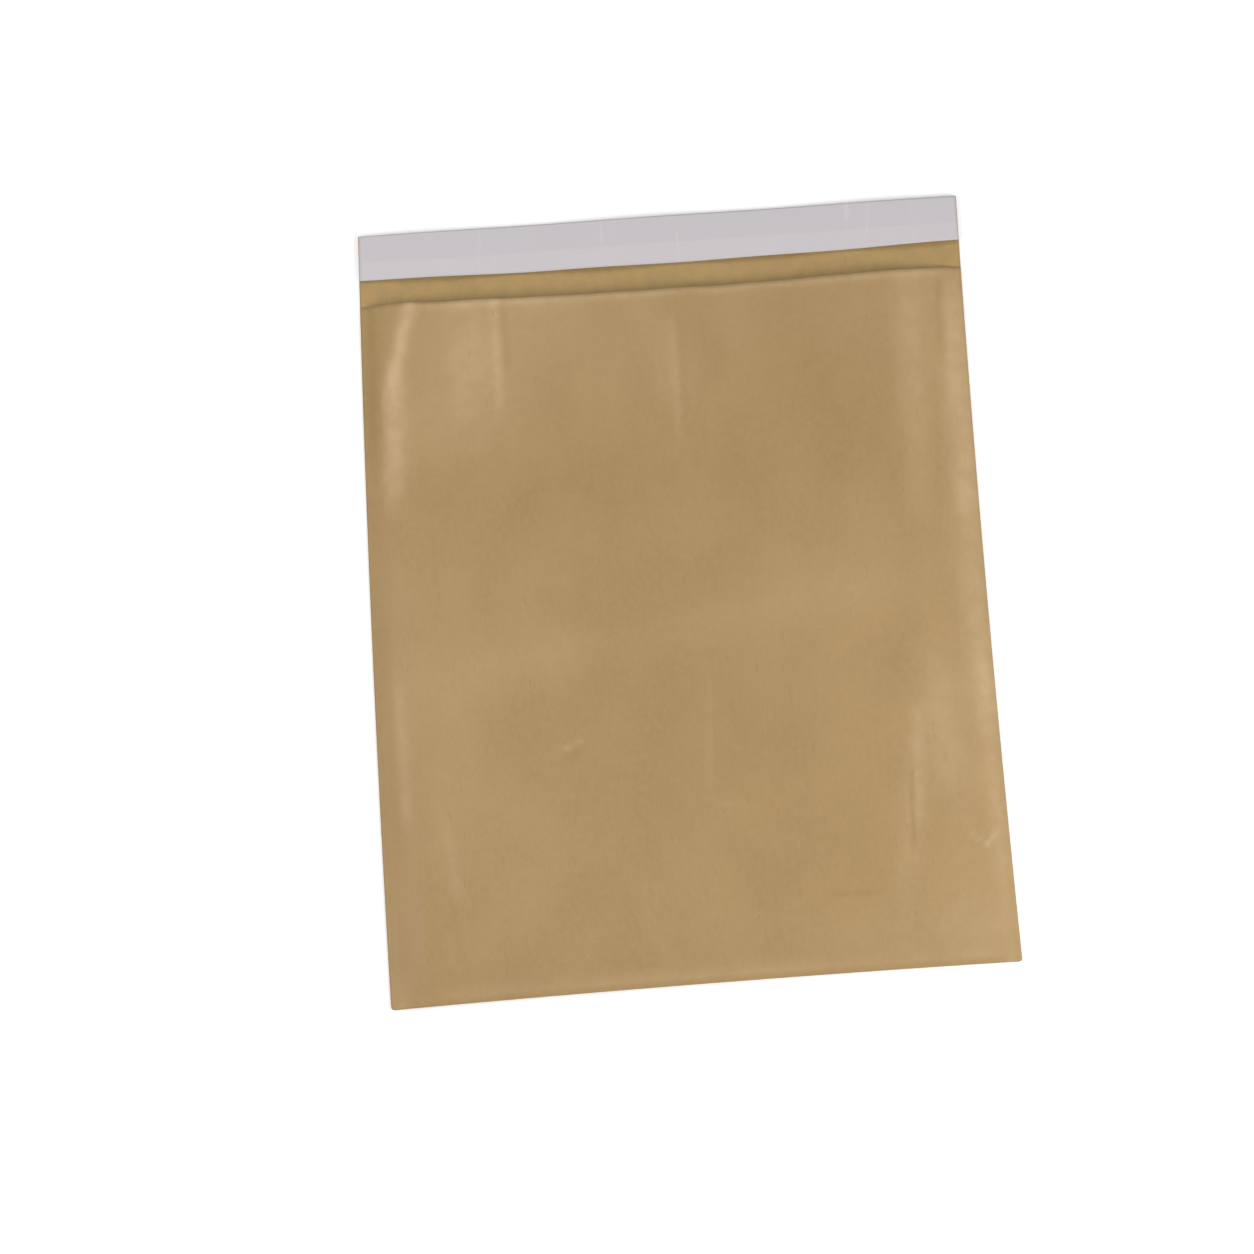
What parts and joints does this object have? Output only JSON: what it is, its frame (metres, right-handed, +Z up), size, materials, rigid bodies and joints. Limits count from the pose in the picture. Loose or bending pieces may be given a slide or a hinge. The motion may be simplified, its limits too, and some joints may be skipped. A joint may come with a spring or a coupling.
{
  "type": "padded envelope",
  "caption": "Flat padded mailing envelope of kraft paper with a bubble lining, an open mouth, and a flap with an adhesive strip under a pale release liner.",
  "frame": {"origin": "centre of the envelope's outline, flap included, on the surface that it lies on", "axes": "+Y along the envelope from the bottom fold to the flap, +X to the right across it, +Z up out of the front panel"},
  "size_m": [0.3066, 0.394, 0.0098],
  "materials": {
    "kraft_paper": "smooth kraft paper, slight sheen",
    "bubble_film": "translucent polyethylene bubble film",
    "hot_melt": "glossy translucent hot-melt adhesive",
    "release_paper": "smooth coated release paper, satin"
  },
  "bodies": {
    "root": {"kraft_cover": "kraft_paper", "bubble_lining": "bubble_film", "adhesive_strip": "hot_melt", "release_liner": "release_paper"}
  },
  "joints": []
}
